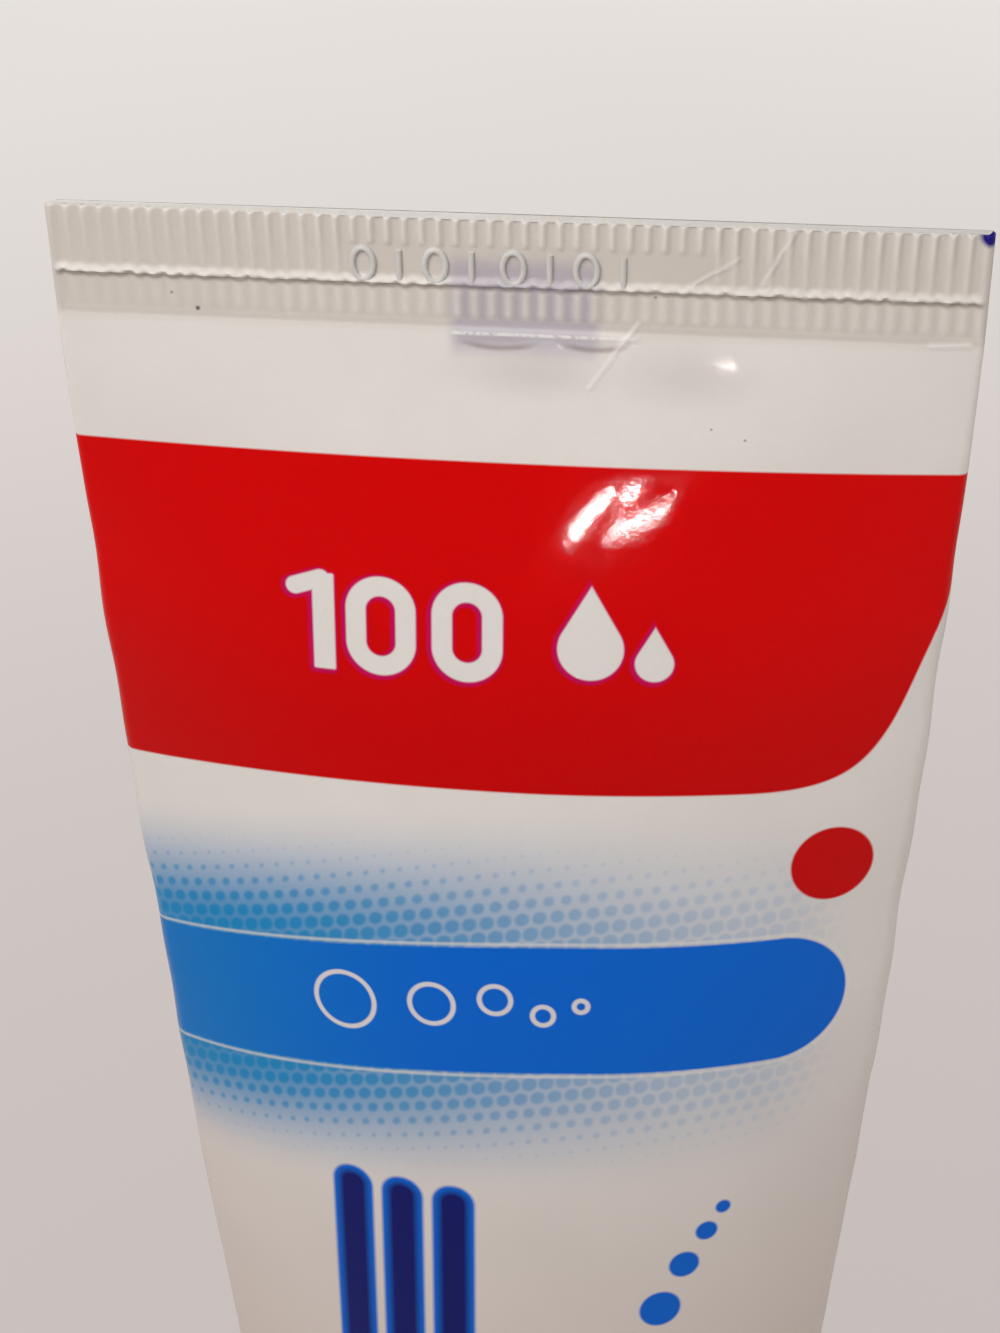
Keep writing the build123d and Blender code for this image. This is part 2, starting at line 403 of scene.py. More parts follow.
def crimp_marks(tree, colour, u, v):
    """The sensor mark that shows through the crimp, a spot of ink at its corner, and specks."""
    patch = between(u, sensor_left, sensor_right, 0.5) * between(v, 2.7, sensor_foot, 0.7)
    ridge = (u * (2 * math.pi / crimp_pitch)).math("COSINE") * 0.5 + 0.5
    thin = 1 - ridge * between(v, 4.4, 6.4, 0.1) * 0.75
    colour = paint(tree, colour, MARK_INK, patch * thin * 0.34)
    colour = paint(tree, colour, SPOT_INK, inked(disc(u, v, (27.1, 0.2), 0.62), 0.16))
    places = (((-18.6, 6.35), 0.13), ((-20.1, 5.4), 0.07), ((8.5, 4.6), 0.06), ((14.0, 13.0), 0.06),
              ((12.0, 12.4), 0.05))
    specks = gathered([disc(u, v, place, radius) for place, radius in places])
    return paint(tree, colour, SPECK_TONE, inked(specks, 0.06) * 0.85)


def crease_lines(u, v, wander):
    """Sharp creases where the laminate has been bent by the crimp's corner."""
    u = u + wander
    lines = (((7.5, 6.3), (4.8, 10.2), 0.11), ((16.3, 0.3), (14.6, 3.6), 0.1),
             ((24.3, 6.95), (26.5, 6.8), 0.12), ((13.2, 2.1), (10.7, 3.7), 0.08))
    return gathered([stroke(u, v, start, end, radius) for start, end, radius in lines])


def painted_dimple_shade(u, v):
    """Painted shade: soft dark crescents in the dimples under the crimp, and fainter painted shade in the
    hollows round them.
    """
    crescents = []
    for middle, half, depth in ((-0.6, 2.9, 0.62), (5.0, 2.5, 0.5)):
        share = (u - middle) / half
        sunk = (v - (lip_drop + 0.3) - (1 - share * share) * depth) / 0.32
        crescents.append((1 - abs(sunk).step(0.0, 1.0)) * (1 - abs(share).step(0.35, 1.0)))
    below = (1 - hypot((u - 1.0) / 6.5, (v - 9.4) / 2.2).step(0.0, 1.0)) * 0.34
    beside = (1 - hypot((u - 10.5) / 6.0, (v - 9.4) / 2.6).step(0.0, 1.0)) * 0.26
    return crescents[0].most(crescents[1]).most(below + beside)


def own_attribute(tree, name):
    """A number stored on the piece's own points."""
    reader = tree.nodes.new("ShaderNodeAttribute")
    reader.attribute_name = name
    return Field(tree, reader.outputs["Fac"])


def printed_laminate():
    """White film with ink under a semi-gloss varnish, duller and greyer where the crimp pressed it."""
    material, tree, shader, place = new_material("printed_laminate")
    own_map = tree.nodes.new("ShaderNodeUVMap")
    own_map.uv_map = "print"
    across, up = parted(tree, own_map.outputs["UV"])[:2]
    u = (across - 0.5) * girth
    v = (1 - up) * sleeve_length
    surface = joined(tree, u, v)

    cloud = noise(tree, surface, 0.11, 3.0)
    grain = noise(tree, surface, 2.3, 2.0)
    pressed = 1 - v.step(6.2, 7.4)
    film = paint(tree, linear(241, 236, 232), linear(232, 226, 222), cloud)
    # Painted shade: the film is darker and warmer towards the sleeve's foot.
    film = paint(tree, film, linear(226, 208, 198), v.step(50.0, 100.0) * 0.7)
    film = paint(tree, film, CRIMP_FILM, pressed * 0.85)
    film = paint(tree, film, linear(214, 208, 200), pressed * grain * 0.35)
    # Painted light on the crimp's relief, from the stored lit and shaded attributes: painted shade where it
    # isn't lit, a painted highlight on the bead, the rib tops and the top edge, and a painted shadow under
    # the bead and along the lip.
    lit, shaded = (own_attribute(tree, name) for name in ("lit", "shaded"))
    film = paint(tree, film, linear(186, 177, 168), (1 - lit) * pressed * 0.16)
    film = paint(tree, film, linear(250, 247, 243), lit * 0.55)
    film = paint(tree, film, linear(150, 140, 130), shaded * 0.6)
    colour = print_design(tree, film, u, v)
    colour = crimp_marks(tree, colour, u, v)

    # Painted shade in the dimples and hollows under the crimp.
    colour = paint(tree, colour, DIMPLE_PAINTED_SHADE, painted_dimple_shade(u, v) * 0.5)
    # A painted highlight, broken by noise, along the lip under the crimp.
    along_lip = between(u, sensor_left, 7.4, 0.3) * between(v, 7.08, 7.26, 0.08)
    lip_highlight = along_lip * noise(tree, surface, 2.6).step(0.3, 0.5)
    colour = paint(tree, colour, linear(252, 250, 247), lip_highlight * 0.85)
    wander = (noise(tree, surface, 0.9) - 0.5) * 0.5
    creases = crease_lines(u, v, wander)
    # A painted highlight along the raised creases; the bump below gives them their relief.
    colour = paint(tree, colour, linear(246, 242, 238), inked(creases, 0.1) * 0.55)

    fine = noise(tree, surface, 3.2, 2.0, 0.7)
    scuffs = noise(tree, joined(tree, u * 0.35 + v * 0.2, v * 3.0 - u * 0.8), 1.6, 3.0, 0.7)
    rough = 0.032 + cloud * 0.01 + scuffs.step(0.6, 0.8) * 0.02 + pressed * 0.3
    peel = noise(tree, surface, 1.4, 2.0, 0.55)
    normal = bump(tree, peel, 1.0, 0.0000009)
    normal = bump(tree, fine, 1.0, 0.0000012, normal)
    normal = bump(tree, inked(creases, 0.16), 1.0, 0.00006, normal)
    coat(tree, shader, colour, rough, normal)
    shader.inputs["Specular IOR Level"].default_value = 0.18
    return material


def laminate_inside():
    """The uncoated inner film and the cut edge: grey-white, with faint rolling lines."""
    material, tree, shader, place = new_material("laminate_inside")
    cloud = noise(tree, place, 180.0, 3.0)
    lines = noise(tree, place, 900.0, 2.0)
    colour = paint(tree, linear(226, 223, 219), linear(206, 203, 200), cloud)
    coat(tree, shader, colour, 0.36 + lines * 0.16, bump(tree, lines, 0.8, 0.00001))
    return material


def moulded_plastic(name, light, dark, gloss, ring_scale):
    """White moulded plastic: cloudy colour, faint flow lines, a fine tooled skin and rubbed spots."""
    material, tree, shader, place = new_material(name)
    x, y, z = parted(tree, place)
    radius = hypot(x, y)
    cloud = noise(tree, place, 70.0, 3.0)
    flow = noise(tree, joined(tree, radius * ring_scale, z * ring_scale * 3.0), 1.0, 3.0, 0.6)
    skin = noise(tree, place, 5200.0, 2.0)
    rubbed = noise(tree, place, 420.0, 4.0, 0.65).step(0.6, 0.78)
    colour = paint(tree, light, dark, cloud * 0.7 + flow * 0.3)
    colour = paint(tree, colour, linear(247, 246, 243), rubbed * 0.35)
    normal = bump(tree, flow, 0.7, 0.00002)
    normal = bump(tree, skin, 0.8, 0.000006, normal)
    coat(tree, shader, colour, gloss + flow * 0.08 + rubbed * 0.12, normal)
    soften(shader, 0.08, (1.0, 0.95, 0.9), 0.0012)
    return material


def wet_paste():
    """Pale minty paste: wet gloss over a slightly uneven, translucent body."""
    material, tree, shader, place = new_material("wet_paste")
    cloud = noise(tree, place, 320.0, 4.0, 0.6)
    swirl = noise(tree, place, 900.0, 3.0, 0.6, 1.2)
    colour = paint(tree, linear(232, 243, 242), linear(204, 229, 230), cloud)
    coat(tree, shader, colour, 0.16 + swirl * 0.14, bump(tree, swirl, 0.7, 0.00009))
    soften(shader, 0.25, (1.0, 1.0, 0.9), 0.002)
    return material


# ---- the sleeve's shape
def flattened_circle(half_depth):
    """Half width, tip radius, face radius and face half angle of an oval with the cavity's girth."""

    def arcs(half_width):
        half_turn = face_share * 2 * math.atan2(half_depth, half_width)
        extra = (half_width - half_depth) / (math.sin(half_turn) + math.cos(half_turn) - 1)
        tip = half_width - extra * math.sin(half_turn)
        return tip, tip + extra, half_turn, 4 * (extra * half_turn + tip * math.pi / 2)

    narrow, wide = half_depth, cavity_radius * math.pi / 2
    for _ in range(60):
        middle = (narrow + wide) / 2
        if arcs(middle)[3] < 2 * math.pi * cavity_radius:
            narrow = middle
        else:
            wide = middle
    tip, face, half_turn, _ = arcs(wide)
    return wide, tip, face, half_turn


def cavity_half_depth(height):
    along = min(max((height - weld_top) / (crimp_base - weld_top), 0.0), 1.0)
    return closed_half_depth + (cavity_radius - closed_half_depth) * (1 - along**closing_power)


def wall_ring(height, turns, grow):
    """Places and outward directions round the wall, at turns from -0.5 to 0.5 and grow outside the cavity."""
    half_depth = cavity_half_depth(height)
    if cavity_radius - half_depth < 1e-6:
        angle = turns * 2 * math.pi
        outward = np.stack([np.sin(angle), -np.cos(angle)], 1)
        return outward * (cavity_radius + grow), outward
    half_width, tip, face, half_turn = flattened_circle(half_depth)
    tip_out, face_out = tip + grow, face + grow
    quarter = face_out * half_turn + tip_out * (math.pi / 2 - half_turn)
    run = np.abs(turns) * 4 * quarter
    run = np.where(run > quarter, 2 * quarter - run, run)
    on_face = run <= face_out * half_turn
    angle = np.where(on_face, run / face_out, half_turn + (run - face_out * half_turn) / tip_out)
    x = np.where(on_face, face_out * np.sin(angle), half_width - tip + tip_out * np.sin(angle))
    y = np.where(on_face, face - half_depth - face_out * np.cos(angle), -tip_out * np.cos(angle))
    back = np.where(np.abs(turns) > 0.25, -1.0, 1.0)
    side = np.sign(turns)
    return np.stack([x * side, y * back], 1), np.stack([np.sin(angle) * side, -np.cos(angle) * back], 1)


def rise(value, start, end):
    """A smooth rise from 0 to 1, for numbers and arrays."""
    share = np.clip((value - start) / (end - start), 0, 1)
    return share * share * (3 - 2 * share)


def hump(value, middle, half, soft):
    """1 over a stretch, fading over soft at both ends."""
    low, high = middle - half, middle + half
    return rise(value, low - soft, low) * (1 - rise(value, high, high + soft))


def swelling(u, v, middle, reach):
    """A soft round swelling of the wall, 1 at its middle."""
    return np.exp(-(((u - middle[0]) / reach[0]) ** 2) - ((v - middle[1]) / reach[1]) ** 2)


def wall_dents(u, v):
    """How far the wall stands out (+) or in (-) at girth u and drop v."""
    lip = 0.1 * np.exp(-(((v - lip_drop) / 0.2) ** 2)) * hump(u, 2.1, 5.0, 0.8)
    first = 0.17 * hump(u, -1.0, 1.0, 1.6) * rise(v, 7.3, 8.0) * np.exp(-np.maximum(v - 7.9, 0) / 1.5)
    second = 0.13 * hump(u, 4.9, 0.8, 1.5) * rise(v, 7.4, 8.1) * np.exp(-np.maximum(v - 8.0, 0) / 1.3)
    hollows = 0.13 * swelling(u, v, (0.5, 10.5), (6.0, 3.2))
    hollows += 0.06 * swelling(u, v, (11.5, 10.0), (4.5, 2.6))
    swells = 0.06 * swelling(u, v, (-17.0, 10.5), (9.0, 3.0))
    swells += 0.04 * swelling(u, v, (22.0, 11.5), (4.5, 3.5))
    settled = rise(v, 24.0, 40.0) * (1 - rise(v, 120.0, 150.0))
    slow = np.sin(u * 0.19 + v * 0.07) + np.sin(u * 0.11 - v * 0.13 + 1.3)
    slow += np.sin(v * 0.21 + u * 0.05 + 0.4)
    edge = np.exp(-(((np.abs(u) - side_girth) / 2.6) ** 2))
    edge *= rise(v, 14.0, 22.0) * (1 - rise(v, 60.0, 90.0))
    pinch = 0.1 * edge * (1 + np.sin(v * 0.55 + np.sign(u) * 1.1) * np.sin(v * 0.17))
    lap_edge = half_girth - 0.9
    lap = 0.11 * np.exp(-np.maximum(lap_edge - np.abs(u), 0) / 2.2) * (np.abs(u) < lap_edge)
    lap = lap * rise(v, 7.0, 9.0)
    total = lip + swells + 0.035 * settled * slow - first - second - hollows - pinch - lap
    return np.maximum(total, 0.07 - laminate)


# ---- meshes
def new_object(name, data):
    thing = bpy.data.objects.new(name, data)
    bpy.context.scene.collection.objects.link(thing)
    return thing


def mesh_object(name, points, faces, materials, face_materials=None, uv=None):
    """An object at the origin from points in millimetres."""
    mesh = bpy.data.meshes.new(name)
    mesh.from_pydata((np.asarray(points) * MM).tolist(), [], faces)
    for material in materials:
        mesh.materials.append(material)
    if face_materials is not None:
        mesh.polygons.foreach_set("material_index", face_materials)
    if uv is not None:
        layer = mesh.uv_layers.new(name="print")
        layer.uv.foreach_set("vector", np.asarray(uv, np.float32).ravel())
    mesh.shade_smooth()
    mesh.update()
    return new_object(name, mesh)


def strip_rows():
    """Heights below the top edge for the sleeve's rings: dense in the crimp, wider further down."""
    crimp = np.linspace(0.0, ribbed_height, 49)
    below = np.linspace(ribbed_height, mirror_end, 21)[1:]
    front = np.linspace(mirror_end, front_end, 41)[1:]
    rest = np.linspace(front_end, sleeve_length - 0.4, 27)[1:]
    return crimp, np.concatenate([below, front, rest, [sleeve_length - 0.1, sleeve_length]])


class SleeveShell:
    """Collects the sleeve's points, faces, finishes (0 printed, 1 bare) and print coordinates."""

    def __init__(self):
        self.points, self.faces, self.finishes, self.uv = [], [], [], []
        self.count = 0

    def ring(self, drop, around, grow, dented=True):
        """Adds a ring of points and returns its first index."""
        turns = (np.arange(around) + 0.5) / around - 0.5
        height = top - drop
        places, outward = wall_ring(height, turns, grow)
        if dented:
            places = places + outward * wall_dents(turns * girth, np.full(around, drop))[:, None]
        self.points.append(np.column_stack([places, np.full(around, height)]))
        self.count += around
        return self.count - around

    def bare(self, face):
        self.faces.append(face)
        self.finishes.append(1)
        self.uv.extend([(0.0, 0.0)] * len(face))

    def span(self, upper, lower, drops, around, flip=False):
        """Joins two rings of equal count."""
        for i in range(around):
            j = (i + 1) % around
            corners = [(upper + i, i, 0), (lower + i, i, 1), (lower + j, i + 1, 1), (upper + j, i + 1, 0)]
            if flip:
                corners.reverse()
            self.faces.append([c[0] for c in corners])
            self.finishes.append(1 if flip else 0)
            for _, step, row in corners:
                self.uv.append(((step + 0.5) / around, 1 - drops[row] / sleeve_length))

    def halve(self, upper, lower, drops, around):
        """Joins a ring to a lower one with half as many points."""
        twice = 2 * around
        rows = [1 - drops[0] / sleeve_length] * 3 + [1 - drops[1] / sleeve_length] * 2
        for i in range(around):
            corners = [upper + (2 * i + k) % twice for k in range(3)]
            corners += [lower + i, lower + (i + 1) % around]
            across = [(2 * i + k + 0.5) / twice for k in range(3)]
            across += [(i + 0.5) / around, (i + 1.5) / around]
            for face in ((0, 3, 1), (1, 3, 4), (1, 4, 2)):
                self.faces.append([corners[k] for k in face])
                self.finishes.append(0)
                self.uv.extend((across[k], rows[k]) for k in face)

    def mouth(self, outer, inner, around):
        """The cut bottom edge, between the outer wall's last ring and the cavity's first."""
        share = wall_points // around
        for i in range(around):
            edge = [outer + (share * i + share // 2 + k) % wall_points for k in range(share + 1)]
            self.bare([inner + i, inner + (i + 1) % around, *reversed(edge)])

    def zipped(self, start, around, upward):
        """Closes a flattened ring by joining its front half to its back half."""
        for i in range(around // 2 - 1):
            face = [start + i, start + i + 1, start + around - 2 - i, start + around - 1 - i]
            self.bare(face if upward else face[::-1])


def sleeve_shell():
    """Outer wall, crimp, cut top edge and inner wall, as one closed mesh."""
    shell = SleeveShell()
    crimp_drops, wall_drops = strip_rows()
    last = None
    for drop in crimp_drops:
        here = shell.ring(drop, crimp_points, laminate - (cut_bevel if drop == 0 else 0.0))
        if last is not None:
            shell.span(last[0], here, (last[1], drop), crimp_points)
        last = (here, drop)
    here = shell.ring(wall_drops[0], wall_points, laminate)
    shell.halve(last[0], here, (last[1], wall_drops[0]), wall_points)
    last = (here, wall_drops[0])
    for drop in wall_drops[1:]:
        here = shell.ring(drop, wall_points, laminate - (mouth_bevel if drop == sleeve_length else 0.0))
        shell.span(last[0], here, (last[1], drop), wall_points)
        last = (here, drop)

    below = None
    for drop in np.linspace(sleeve_length, crimp_height + 0.4, 40):
        here = shell.ring(drop, cavity_points, 0.0, dented=False)
        if below is None:
            shell.mouth(last[0], here, cavity_points)
        else:
            shell.span(here, below[0], (drop, below[1]), cavity_points, flip=True)
        below = (here, drop)
    shell.zipped(below[0], cavity_points, upward=False)
    shell.zipped(0, crimp_points, upward=True)
    return shell


# ---- geometry trees
def new_tree(name, inputs, takes_mesh=False):
    """A geometry tree with named number inputs: the tree, its inputs as Fields and its mesh socket."""
    tree = bpy.data.node_groups.new(name, "GeometryNodeTree")
    if takes_mesh:
        tree.interface.new_socket("Mesh", in_out="INPUT", socket_type="NodeSocketGeometry")
    for entry, value in inputs.items():
        kind = "NodeSocketInt" if isinstance(value, int) else "NodeSocketFloat"
        tree.interface.new_socket(entry, in_out="INPUT", socket_type=kind).default_value = value
    tree.interface.new_socket("Mesh", in_out="OUTPUT", socket_type="NodeSocketGeometry")
    entries = tree.nodes.new("NodeGroupInput")
    fields = {entry: Field(tree, entries.outputs[entry]) for entry in inputs}
    return tree, fields, entries.outputs[0] if takes_mesh else None


def node(tree, kind, **links):
    """Adds a geometry node, feeds its inputs by name, with _ for a space, and returns its first output."""
    made = tree.nodes.new("GeometryNode" + kind)
    for name, value in links.items():
        feed(tree, made.inputs[name.replace("_", " ")], value)
    return made.outputs[0] if made.outputs else made


def swept(tree, curve, profile):
    """A profile swept along a curve, closed at both ends."""
    return node(tree, "CurveToMesh", Curve=curve, Profile_Curve=profile, Fill_Caps=True)


def baked(name, tree, shape, material, start=None):
    """Ends the tree in Realize Instances and Set Material, runs it and returns a smooth plain mesh."""
    whole = node(tree, "RealizeInstances", Geometry=shape)
    if material is not None:
        whole = node(tree, "SetMaterial", Geometry=whole, Material=material)
    out = tree.nodes.new("NodeGroupOutput")
    tree.links.new(whole, out.inputs[0])
    holder = start or new_object(name + "_start", bpy.data.meshes.new(name + "_start"))
    modifier = holder.modifiers.new("tree", "NODES")
    modifier.node_group = tree
    depsgraph = bpy.context.evaluated_depsgraph_get()
    mesh = bpy.data.meshes.new_from_object(holder.evaluated_get(depsgraph), depsgraph=depsgraph)
    mesh.name = name
    holder.modifiers.remove(modifier)
    bpy.data.objects.remove(holder)
    mesh.shade_smooth()
    return new_object(name, mesh)


def crimp_press(start):
    """Presses the crimp: ribs, the squeezed bead and a flat window for the stamp, on both faces."""
    inputs = {"Pitch": crimp_pitch, "Top Edge": float(top), "Rib Height": 0.24, "Low Rib Height": 0.08,
              "Press Depth": 0.09, "Bead Height": 0.34, "Bead Drop": 4.12, "Crimp Drop": 6.5}
    tree, given, mesh = new_tree("crimp_press", inputs, takes_mesh=True)
    position = node(tree, "InputPosition")
    x, y, z = (part / MM for part in parted(tree, position))
    v = given["Top Edge"] - z
    side = y.math("SIGN")
    seen = (1 - side) * 0.5  # 1 on the front face
    ragged = noise(tree, joined(tree, x, side * 40.0), 0.55, 3.0, 0.6) - 0.5
    jitter = noise(tree, joined(tree, x, side * 40.0, 7.0), 1.9, 2.0, 0.5) - 0.5
    patchy = noise(tree, joined(tree, x, v * 0.4 + side * 60.0), 0.35, 2.0) * 1.4 + 0.3
    patchy = patchy * (x.step(-24.0, -8.0) * 0.6 + 0.4)

    wave = (x * (2 * math.pi) / given["Pitch"]).math("COSINE") * 0.5 + 0.5
    narrow = wave**2.6
    window = between(x, -9.6, 12.0, 0.3) * between(v, 1.85, 4.4, 0.15) * seen
    fading = 1 - v.step(0.3, 3.0) * 0.6
    upper = narrow * given["Rib Height"] * fading * (1 - v.step(3.8, 4.1)) * (1 - window) * patchy
    mark = between(x, -3.4, 5.3, 0.4) * seen
    low_height = given["Low Rib Height"] * patchy + mark * 0.06
    lower = wave * low_height * v.step(4.4, 4.7) * (1 - v.step(6.1, 6.4))

    bead_drop = given["Bead Drop"] + ragged * 0.5 + wave * 0.09 + jitter * 0.12
    bead_shape = (v - bead_drop + 0.42).step(0.0, 0.3) * (1 - (v - bead_drop).step(0.0, 0.14))
    bead = bead_shape * given["Bead Height"] * (0.75 + jitter * 0.9)
    lip = given["Crimp Drop"] + ragged * 0.16
    pressed = given["Press Depth"] * (1 - (v - lip).step(0.0, 0.5))
    beyond = (v - bead_drop).step(0.05, 0.3) * (1 - (v - lip).step(-0.1, 0.3)) * 0.05

    inner = 1 - abs(x).step(26.75, 27.2)
    edge = between(abs(x), 26.75, 27.05, 0.2) * 0.05 * (1 - v.step(5.5, 7.0))
    relief = (upper + lower + bead - pressed - beyond) * inner + edge
    notch = narrow * 0.24 * (1 - v.step(0.0, 0.45)) * inner
    offset = joined(tree, 0.0, side * relief * MM, notch * -MM)
    # Masks for painted light in the shader: a painted shadow under the bead and a darker painted line along
    # the lip (shaded), and a painted highlight on the bead, the rib tops and the top edge (lit).
    under = (v - bead_drop).step(0.1, 0.2) * (1 - (v - bead_drop).step(0.25, 0.5))
    foot_line = between(v - lip, 0.05, 0.3, 0.12)
    in_crimp = 1 - (v - lip).step(-0.3, 0.1)
    ribbed = narrow * fading * (1 - window) * (1 - v.step(3.8, 4.1)) + wave * v.step(4.5, 4.8) * 0.6
    ribbed = ribbed * in_crimp
    tip_lit = narrow * (1 - v.step(0.35, 0.8))
    for name, field in (("lit", bead_shape.most(ribbed * 0.75 * patchy.least(1.0)).most(tip_lit) * inner),
                        ("shaded", under.most(foot_line * 0.5) * inner)):
        mesh = node(tree, "StoreNamedAttribute", Geometry=mesh, Name=name, Value=field)
    placed = node(tree, "SetPosition", Geometry=mesh, Offset=offset)
    return baked("tube_sleeve_skin", tree, placed, None, start=start)


def sleeve_skin(outside, inside):
    """The whole laminate sleeve, which stands for the frame's plain one."""
    shell = sleeve_shell()
    plain = mesh_object("sleeve_before_press", np.concatenate(shell.points), shell.faces, [outside, inside],
                        shell.finishes, shell.uv)
    skin = crimp_press(plain)
    skin.data.set_sharp_from_angle(angle=math.radians(62))
    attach(skin, "tube")
    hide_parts("tube_sleeve")


def stamp_marks(material):
    """Raised rings and bars in the crimp's window, where a lot stamp goes."""
    inputs = {"Count": 8, "Spacing": 2.12, "Start": -8.5, "Drop": 3.1, "Face": 0.385, "Half Height": 0.62,
              "Wire": 0.19}
    tree, given, _ = new_tree("stamp_marks", inputs)
    index = Field(tree, node(tree, "InputIndex"))
    row = node(tree, "MeshLine", Count=given["Count"])
    x = given["Start"] + index * given["Spacing"] + (index - 3.5).math("GREATER_THAN", 0.0) * 0.3
    place = joined(tree, x * MM, -given["Face"] * MM, (float(top) - given["Drop"]) * MM)
    row = node(tree, "SetPosition", Geometry=row, Position=place)
    profile = node(tree, "CurvePrimitiveCircle", Radius=given["Wire"] * MM, Resolution=8)

    def stood(curve, tall):
        """Stands a flat curve up and gives it the stamp's wire section."""
        scale = joined(tree, 1.0, tall, 1.0)
        upright = node(tree, "Transform", Geometry=curve, Scale=scale)
        upright = node(tree, "Transform", Geometry=upright, Rotation=(math.pi / 2, 0, 0))
        return swept(tree, upright, profile)

    loop = node(tree, "CurvePrimitiveCircle", Radius=given["Half Height"] * MM, Resolution=28)
    line = node(tree, "CurvePrimitiveLine", Start=(0, -0.9 * MM, 0), End=(0, 0.9 * MM, 0))
    odd = index.math("MODULO", 2.0)
    both = tree.nodes.new("GeometryNodeJoinGeometry")
    for curve, tall, kept in ((loop, 1.55, "LESS_THAN"), (line, 1.0, "GREATER_THAN")):
        chosen = odd.math(kept, 0.5)
        copies = node(tree, "InstanceOnPoints", Points=row, Selection=chosen, Instance=stood(curve, tall))
        tree.links.new(copies, both.inputs[0])
    marks = baked("crimp_stamp", tree, both.outputs[0], material)
    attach(marks, "tube")


def thread(name, body, material, inputs):
    """A screw thread, riding on a body: a tapered strip wound round the axis, thin at both ends."""
    tree, given, _ = new_tree(name + "_tree", inputs)
    spiral = node(tree, "CurveSpiral", Resolution=72, Rotations=given["Turns"],
                  Start_Radius=given["Radius"] * MM, End_Radius=given["Radius"] * MM,
                  Height=given["Rise"] * MM)
    lift = joined(tree, 0.0, 0.0, given["Start"] * MM)
    turn = joined(tree, 0.0, 0.0, given["Turned"])
    spiral = node(tree, "Transform", Geometry=spiral, Translation=lift, Rotation=turn)
    share = Field(tree, node(tree, "SplineParameter"))
    thick = share.step(0.0, 0.06) * (1 - share.step(0.94, 1.0)) * 0.97 + 0.03
    spiral = node(tree, "SetCurveRadius", Curve=spiral, Radius=thick)
    profile = node(tree, "CurvePrimitiveCircle", Radius=1.0, Resolution=10)
    scale = joined(tree, given["Half Width"] * MM, given["Half Depth"] * MM, 1.0)
    profile = node(tree, "Transform", Geometry=profile, Scale=scale)
    wound = baked(name, tree, swept(tree, spiral, profile), material)
    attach(wound, body)


def grip_ribs(material):
    """Upright grip ribs round the cap base, left out at the thumb hollow and the hinge."""
    inputs = {"Count": 84, "Radius": float(cap_radius) - 0.16, "Rib": 0.36, "Low": 9.3, "High": 19.8,
              "Thumb Gap": 0.56, "Hinge Gap": 0.3}
    tree, given, _ = new_tree("grip_ribs", inputs)
    circle = node(tree, "MeshCircle", Vertices=given["Count"], Radius=given["Radius"] * MM)
    position = node(tree, "InputPosition")
    x, y = parted(tree, position)[:2]
    from_front = abs(x.math("ARCTAN2", -y))
    kept = from_front.math("GREATER_THAN", given["Thumb Gap"])
    kept = kept * from_front.math("LESS_THAN", math.pi - given["Hinge Gap"])
    start = joined(tree, 0.0, 0.0, given["Low"] * MM)
    end = joined(tree, 0.0, 0.0, given["High"] * MM)
    line = node(tree, "CurvePrimitiveLine", Start=start, End=end)
    line = node(tree, "ResampleCurve", Curve=line, Count=14)
    share = Field(tree, node(tree, "SplineParameter"))
    thick = (share.step(-0.02, 0.12) * (1 - share.step(0.88, 1.02))) * 0.9 + 0.1
    line = node(tree, "SetCurveRadius", Curve=line, Radius=thick)
    profile = node(tree, "CurvePrimitiveCircle", Radius=given["Rib"] * MM, Resolution=10)
    ribs = node(tree, "InstanceOnPoints", Points=circle, Selection=kept, Instance=swept(tree, line, profile))
    grip = baked("cap_grip_ribs", tree, ribs, material)
    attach(grip, "cap_base")


# ---- smaller pieces
def paste_fill(material):
    """The paste: a domed mouth in the nozzle, the head's cone, and the filling inside the sleeve."""
    clear = 0.9  # off the sleeve, which is dented
    head_wall = 1.7  # between the cone of paste and the outside of the shoulder
    count = 96
    turns = (np.arange(count) + 0.5) / count - 0.5
    rings = []

    def ring(places, height):
        rings.append(np.column_stack([places, np.full(count, height)]))

    throat = neck_bore - 0.2
    rim = cavity_radius - 2.9
    mouth = [(throat * math.sin(a), neck_lip + 0.75 * (1 - math.cos(a))) for a in np.linspace(0.12, 1.5, 9)]
    cone_start = neck_root + (throat - neck_radius) * shoulder_slope + head_wall
    cone_end = neck_root + (rim - neck_radius) * shoulder_slope + head_wall
    profile = mouth + [(throat, neck_root - 2.0), (throat, cone_start), (rim, cone_end)]
    profile += [(rim, weld_top + 0.1), (cavity_radius - 1.6, weld_top + 0.5)]
    outward = wall_ring(weld_top, turns, 0.0)[1]
    for radius, height in profile:
        ring(outward * radius, height)
    crown = fill_high - 1.5
    for height in np.linspace(weld_top + 2.0, crown, 46):
        places = wall_ring(height, turns, -clear)[0]
        ring(places, height)
    for share, lift in ((0.8, 0.45), (0.5, 0.9), (0.2, 1.1)):
        ring(places * share, crown + lift)
    points = np.concatenate(rings + [[[0, 0, neck_lip]], [[0, 0, fill_high - 0.35]]])
    faces = []
    for row in range(len(rings) - 1):
        for i in range(count):
            j = (i + 1) % count
            a, b = row * count, (row + 1) * count
            faces.append([a + i, a + j, b + j, b + i])
    mouth_tip, crown_tip = len(points) - 2, len(points) - 1
    last = (len(rings) - 1) * count
    for i in range(count):
        j = (i + 1) % count
        faces.append([mouth_tip, j, i])
        faces.append([crown_tip, last + i, last + j])
    paste = mesh_object("paste_fill", points, faces, [material])
    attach(paste, "tube")
    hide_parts("toothpaste")


